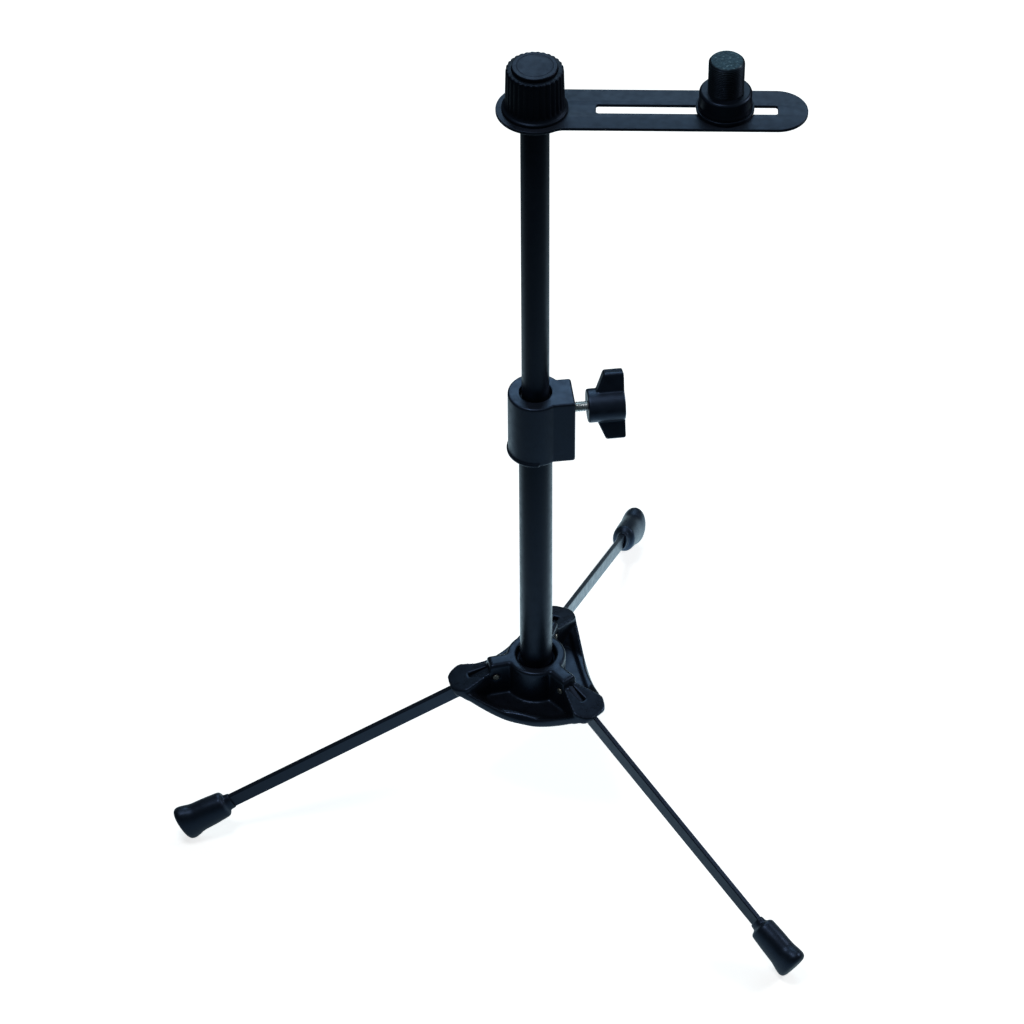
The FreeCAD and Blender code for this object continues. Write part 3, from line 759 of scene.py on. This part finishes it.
def bar_outline():
    """Keyhole outline: a round head, two necks that curve inwards and a straight bar with a round end."""
    reach = BAR_HEAD_RADIUS + BAR_NECK_RADIUS
    neck_y = BAR_HALF_WIDTH + BAR_NECK_RADIUS
    neck_x = math.sqrt(reach ** 2 - neck_y ** 2)
    lean = math.degrees(math.atan2(neck_y, neck_x))
    outline = arc(BAR_END_CENTRE, 0, BAR_HALF_WIDTH, -90, 90, 64)
    outline += arc(neck_x, neck_y, BAR_NECK_RADIUS, 270, 180 + lean, 10)
    outline += arc(0, 0, BAR_HEAD_RADIUS, lean, 360 - lean, 96)[1:-1]
    outline += arc(neck_x, -neck_y, BAR_NECK_RADIUS, 180 - lean, 90, 10)
    return outline


def slot_outline():
    """Long slot with small corner radii."""
    left, right = SLOT_START + SLOT_CORNER, SLOT_END - SLOT_CORNER
    side = SLOT_HALF_WIDTH - SLOT_CORNER
    corners = [(right, side), (left, side), (left, -side), (right, -side)]
    outline = []
    for index, (x, y) in enumerate(corners):
        outline += arc(x, y, SLOT_CORNER, 90 * index, 90 * index + 90, 8)
    return outline


def bar_plate():
    low, high = heights("slotted_bar")
    hole = arc(0, 0, SPIGOT_HOLE, 0, 360, 48)[:-1]
    mesh = plate_mesh("bar_plate", [bar_outline(), slot_outline(), hole], low, high, PLATE_EDGE)
    add_piece("bar_plate", mesh, "slotted_bar", bar_paint)


bar_plate()


# Cap nut

NUT_RIBS = 30
NUT_SEGMENTS = NUT_RIBS * 12
NUT_WASHER_ROOM = 11.2
NUT_INSERT_RADIUS = 7.6
NUT_RIM_RADIUS = 14.7
NUT_WALL_FOOT = 13.2
NUT_WALL_TAPER = 0.4
NUT_RIB_DEPTH = 0.45
NUT_RIB_START = 2.9


def nut_profile(seat, top, disc_radius):
    """Half section of the nut: rooms for insert and washer, flared rim, wall, crown and the disc's seat."""
    rim = [
        (NUT_WASHER_ROOM, seat + 1.0),
        (NUT_WASHER_ROOM, seat),
        (NUT_RIM_RADIUS, seat),
        (NUT_RIM_RADIUS, seat + 1.1),
        (14.45, seat + 1.45),
        (13.75, seat + 1.9),
        (13.3, seat + 2.7),
        (NUT_WALL_FOOT, seat + 3.1),
    ]
    foot, shoulder = seat + 3.2, top - 1.6
    shares = [index / 24 for index in range(25)]
    wall = [(NUT_WALL_FOOT - NUT_WALL_TAPER * share, foot + (shoulder - foot) * share) for share in shares]
    crown = [(12.75, top - 0.9), (12.66, top - 0.4), (12.4, top - 0.1), (12.0, top)]
    disc_floor = top - 1.0
    disc_seat = [
        (disc_radius + 0.25, top),
        (disc_radius, top - 0.2),
        (disc_radius, disc_floor),
        (0, disc_floor),
    ]
    insert_top = top - 5.0
    inside = [(0, insert_top), (NUT_INSERT_RADIUS, insert_top), (NUT_INSERT_RADIUS, seat + 1.0)]
    return inside + rounded(rim, 0.2, 3) + wall + crown + disc_seat


def ribbed_nut():
    """Ribbed cap nut: thirty rounded grooves between a flared rim and a rounded crown."""
    seat, top = heights("cap_nut")
    disc_radius = radius_of("cap_disc")

    def shape(radius, z, angle):
        if radius < disc_radius + 0.5 or z < seat + NUT_RIB_START:
            return radius
        phase = (angle * NUT_RIBS / TAU) % 1.0
        groove = (math.cos(math.pi * (phase - 0.5)) ** 2) ** 1.6
        above_rim = clamped((z - seat - NUT_RIB_START) / 1.2)
        outside_crown = clamped((radius - 11.7) / 0.7)
        return radius - NUT_RIB_DEPTH * groove * above_rim * outside_crown

    mesh = lathe("ribbed_nut", nut_profile(seat, top, disc_radius), NUT_SEGMENTS, shape=shape)
    add_piece("ribbed_nut", mesh, "cap_nut", knob_plastic)


DISC_EDGE = 0.3
PAINTED_SHADE_TILT = 0.8


def top_disc():
    """Plain pressed-in disc with one shallow ring turned in its face, and its side painted darker as painted
    shade.
    """
    low, high = heights("cap_disc")
    radius = radius_of("cap_disc")
    edge = [(0, low), (radius, low), (radius, high - DISC_EDGE), (radius - DISC_EDGE, high)]
    ring = [(8.3, high), (8.1, high - 0.12), (7.9, high - 0.12), (7.7, high), (0, high)]
    mesh = lathe("top_disc", rounded(edge + ring, 0.12, 3))
    add_piece("top_disc", mesh, "cap_disc", disc_plastic)
    # Painted shade: faces that do not point up get the darker nut plastic, so the disc's side looks shaded.
    mesh.materials.append(knob_plastic.material)
    for face in mesh.polygons:
        face.material_index = 0 if face.normal.z > PAINTED_SHADE_TILT else 1


ribbed_nut()
top_disc()


# Spigot

SPIGOT_COLLAR = 6.5


def turned_spigot():
    """Turned plug with a collar and an M10 thread that carries the bar and nut."""
    low, high = heights("top_spigot")
    seat = heights("slotted_bar")[0]
    plug = [(0, low), (UPPER_BORE - 0.3, low), (UPPER_BORE, low + 0.3), (UPPER_BORE, seat - 1.5)]
    collar = [
        (SPIGOT_COLLAR - 0.2, seat - 1.5),
        (SPIGOT_COLLAR, seat - 1.3),
        (SPIGOT_COLLAR, seat - 0.2),
        (SPIGOT_COLLAR - 0.2, seat),
    ]
    neck = [(5.0, seat), (5.0, seat + 1.9)]
    end = [(4.3, high - 0.2), (4.0, high), (0, high)]
    before = plug + collar + neck
    mesh = threaded_rod("turned_spigot", before, end, 5.0, 1.5, 0.8, seat + 2.0, high - 0.9, 1.2, 64)
    add_piece("turned_spigot", mesh, "top_spigot", bright_steel)


turned_spigot()


# Stud and its fixings

STUD_PITCH = 25.4 / 27
STUD_THREAD_DEPTH = 0.58
STUD_CHAMFER = 1.0
STUD_SHANK = 7.0
SCREW_CLEARANCE = 3.0
WASHER_BORE = 3.05
WASHER_SPLIT = 9
WASHER_STEPS = 64


def threaded_stud():
    """The stud's 27-per-inch thread, cut full depth, with a chamfered, flat end that is painted lighter grey
    as wear and painted highlight.
    """
    low, high = heights("mic_stud")
    x = centre_x("mic_stud")
    major = radius_of("mic_stud")
    shoulder = heights("stud_base")[1]
    bore, bore_top = SCREW_CLEARANCE, heights("stud_screw")[1] + 1.0
    rows = [(major, z) for z in spaced(shoulder, high - 0.02, STUD_PITCH / 10)]

    def shape(radius, z, angle):
        if abs(radius - major) > SAME_RADIUS:
            return radius
        cut = thread_radius(major, STUD_PITCH, STUD_THREAD_DEPTH, z, angle, shoulder + 0.3, high + 1, 0.5)
        cone = major - max(0.0, z - (high - STUD_CHAMFER))
        return min(cut, cone)

    below = [(0, bore_top), (bore, bore_top), (bore, low), (STUD_SHANK, low), (STUD_SHANK, shoulder)]
    rim = major - STUD_CHAMFER
    above = [(rim - 0.02, high), (rim - 0.6, high), (3.0, high), (0, high)]
    mesh = lathe("threaded_stud", below + rows + above, 160, x=x, shape=shape)
    add_piece("threaded_stud", mesh, "mic_stud", dark_steel)


def stud_collar():
    """Round base of the stud, with a foot that spreads a little and a chamfered shoulder."""
    low, high = heights("stud_base")
    foot = radius_of("stud_base")
    wall = foot - 0.5
    corners = [
        (STUD_SHANK, low),
        (foot, low),
        (foot - 0.08, low + 1.2),
        (wall, low + 2.4),
        (wall, high - 0.9),
        (wall - 0.9, high),
        (STUD_SHANK, high),
    ]
    mesh = lathe("stud_collar", rounded(corners, 0.45, closed=True), x=centre_x("stud_base"), loop=True)
    add_piece("stud_collar", mesh, "stud_base", base_paint)


def stud_foot_ring():
    low, high = heights("stud_flange")
    bore, radius = SCREW_CLEARANCE, radius_of("stud_flange")
    corners = [(bore, low), (radius, low), (radius, high - 0.1), (radius - 0.3, high), (bore, high)]
    mesh = lathe("stud_foot_ring", rounded(corners, 0.5, closed=True), x=centre_x("stud_flange"), loop=True)
    add_piece("stud_foot_ring", mesh, "stud_flange", base_paint)


def split_ring(inner, outer, low, high, x):
    """Square-section ring with a slanted split, its ends a little apart, as rows of points."""
    rows = []
    gap = math.radians(WASHER_SPLIT)
    for step in range(WASHER_STEPS + 1):
        share = step / WASHER_STEPS
        angle = gap / 2 + (TAU - gap) * share
        foot = low + (high - low) * 0.10 * share
        head = foot + high - low - 0.1
        section = rounded([(inner, foot), (outer, foot), (outer, head), (inner, head)], 0.15, 2, True)
        rows.append([(x + r * math.cos(angle), r * math.sin(angle), min(z, high)) for r, z in section])
    return rows


def split_washer():
    """Spring washer under the stud's screw."""
    low, high = heights("lock_washer")
    rows = split_ring(WASHER_BORE, radius_of("lock_washer"), low, high, centre_x("lock_washer"))
    bm = bmesh.new()
    rings = [[bm.verts.new(point) for point in row] for row in rows]
    for lower, upper in zip(rings, rings[1:]):
        for index in range(len(lower)):
            following = (index + 1) % len(lower)
            bm.faces.new((lower[index], lower[following], upper[following], upper[index]))
    bm.faces.new(rings[0])
    bm.faces.new(list(reversed(rings[-1])))
    bmesh.ops.recalc_face_normals(bm, faces=bm.faces)
    mesh = bpy.data.meshes.new("split_washer")
    bm.to_mesh(mesh)
    bm.free()
    add_piece("split_washer", mesh, "lock_washer", bright_steel)


threaded_stud()
stud_collar()
stud_foot_ring()
split_washer()
crisp("slot_washer", bright_steel, 0.2)
crisp("stud_screw", bright_steel, 0.15)


# Floor, light and camera

FLOOR_Z = CAD_BOUNDS[0].z - 0.0002
FLOOR_HALF_SIZE = 30.0

# The floor's glow to the camera, the light it throws on the stand, and the millimetres over which that fades.
FLOOR_GLOW = 0.75
FLOOR_LIGHT = 0.8
FLOOR_FADE = 200.0

# How much brighter that light is from behind the stand, and from its left and right.
FLOOR_BEHIND = 4.0
FLOOR_LEFT = 0.85
FLOOR_RIGHT = 1.2

SKY_LIGHT = 0.06
SKY_SEEN = (0.93, 0.95, 0.97, 1)
SHEET_TINT = (0.74, 1.0, 1.1)
WHITE = (1, 1, 1)
LIGHT_AIM = Vector((0, 0, 0.12))


def seen_or_lit(tree, seen, lit):
    """Shader that is one thing to the camera and another to the light that falls on the object."""
    path = tree.nodes.new("ShaderNodeLightPath")
    mix = tree.nodes.new("ShaderNodeMixShader")
    tree.links.new(path.outputs["Is Camera Ray"], mix.inputs["Fac"])
    tree.links.new(lit, mix.inputs[1])
    tree.links.new(seen, mix.inputs[2])
    return mix.outputs[0]


def floor_light(finish):
    """Emission that fades with distance from the stand and is brighter from behind and from the right."""
    tree = finish.tree
    split = tree.nodes.new("ShaderNodeSeparateXYZ")
    finish.link(finish.place.outputs[0], split.inputs[0])
    length = tree.nodes.new("ShaderNodeVectorMath")
    length.operation = "LENGTH"
    finish.link(finish.place.outputs[0], length.inputs[0])
    fade = finish.maths("POWER", math.e, finish.maths("MULTIPLY", length.outputs["Value"], -1 / FLOOR_FADE))
    behind = finish.ramp(split.outputs["Y"], -20, 120, 1.0, FLOOR_BEHIND)
    right = finish.ramp(split.outputs["X"], -150, 150, FLOOR_LEFT, FLOOR_RIGHT)
    strength = finish.maths("MULTIPLY", finish.maths("MULTIPLY", fade, behind), right)
    glow = tree.nodes.new("ShaderNodeEmission")
    glow.inputs["Color"].default_value = (*SHEET_TINT, 1)
    finish.link(finish.maths("MULTIPLY", strength, FLOOR_LIGHT), glow.inputs["Strength"])
    return glow.outputs[0]


def floor():
    """Pale sheet that looks even to the camera and throws its own light on the stand."""
    bm = bmesh.new()
    bmesh.ops.create_grid(bm, x_segments=1, y_segments=1, size=FLOOR_HALF_SIZE)
    mesh = bpy.data.meshes.new("floor")
    bm.to_mesh(mesh)
    bm.free()
    plane = bpy.data.objects.new("floor", mesh)
    plane.location = (0, 0, FLOOR_Z)
    bpy.context.scene.collection.objects.link(plane)
    finish = Finish("floor", (0.9, 0.9, 0.9), 0.9, 1.3)
    finish.set("Specular IOR Level", 0.0)
    finish.shader.inputs["Emission Color"].default_value = (*WHITE, 1)
    finish.shader.inputs["Emission Strength"].default_value = FLOOR_GLOW
    surface = seen_or_lit(finish.tree, finish.shader.outputs[0], floor_light(finish))
    finish.link(surface, finish.tree.nodes["Material Output"].inputs["Surface"])
    plane.data.materials.append(finish.material)


def area_light(name, place, size, power, colour):
    """Soft box of that size in metres and power in watts, aimed at the stand."""
    data = bpy.data.lights.new(name, "AREA")
    data.shape = "RECTANGLE"
    data.size, data.size_y = size
    data.energy = power
    data.color = colour
    lamp = bpy.data.objects.new(name, data)
    lamp.location = place
    lamp.rotation_mode = "QUATERNION"
    lamp.rotation_quaternion = (LIGHT_AIM - Vector(place)).to_track_quat("-Z", "Y")
    bpy.context.scene.collection.objects.link(lamp)


def world():
    """Pale surroundings to the camera, and a dimmer, cool sky to the object."""
    sky = bpy.data.worlds.new("studio")
    sky.use_nodes = True
    tree = sky.node_tree
    lit = tree.nodes["Background"]
    lit.inputs["Color"].default_value = (*SHEET_TINT, 1)
    lit.inputs["Strength"].default_value = SKY_LIGHT
    seen = tree.nodes.new("ShaderNodeBackground")
    seen.inputs["Color"].default_value = SKY_SEEN
    mixed = seen_or_lit(tree, seen.outputs[0], lit.outputs[0])
    tree.links.new(mixed, tree.nodes["World Output"].inputs["Surface"])
    bpy.context.scene.world = sky


def camera():
    """Camera at 44 degrees above the floor, in front of the stand and almost square to the bar."""
    pitch = math.radians(43.872)
    yaw = math.radians(1.5)
    roll = math.radians(-0.47)
    distance = 1.880
    target = Vector((-0.011426, -0.000299, 0.12187))
    forward = Matrix.Rotation(yaw, 3, "Z") @ Vector((0, math.cos(pitch), -math.sin(pitch)))
    data = bpy.data.cameras.new("camera")
    data.lens = 137.38
    data.sensor_width = 36.0
    data.clip_end = 50
    lens = bpy.data.objects.new("camera", data)
    lens.location = target - forward * distance
    lens.rotation_mode = "QUATERNION"
    lens.rotation_quaternion = forward.to_track_quat("-Z", "Y")
    turn = Matrix.Rotation(roll, 4, "Z").to_quaternion()
    lens.rotation_quaternion = lens.rotation_quaternion @ turn
    bpy.context.scene.collection.objects.link(lens)
    bpy.context.scene.camera = lens


floor()
world()
area_light("back", (0.1, 1.75, 1.75), (1.5, 1.2), 11, SHEET_TINT)
area_light("key", (1.3, 0.3, 1.0), (0.5, 0.5), 6, WHITE)
area_light("top", (-0.3, -0.25, 1.6), (0.35, 0.35), 5, WHITE)
camera()
bpy.context.scene.view_settings.view_transform = "Standard"
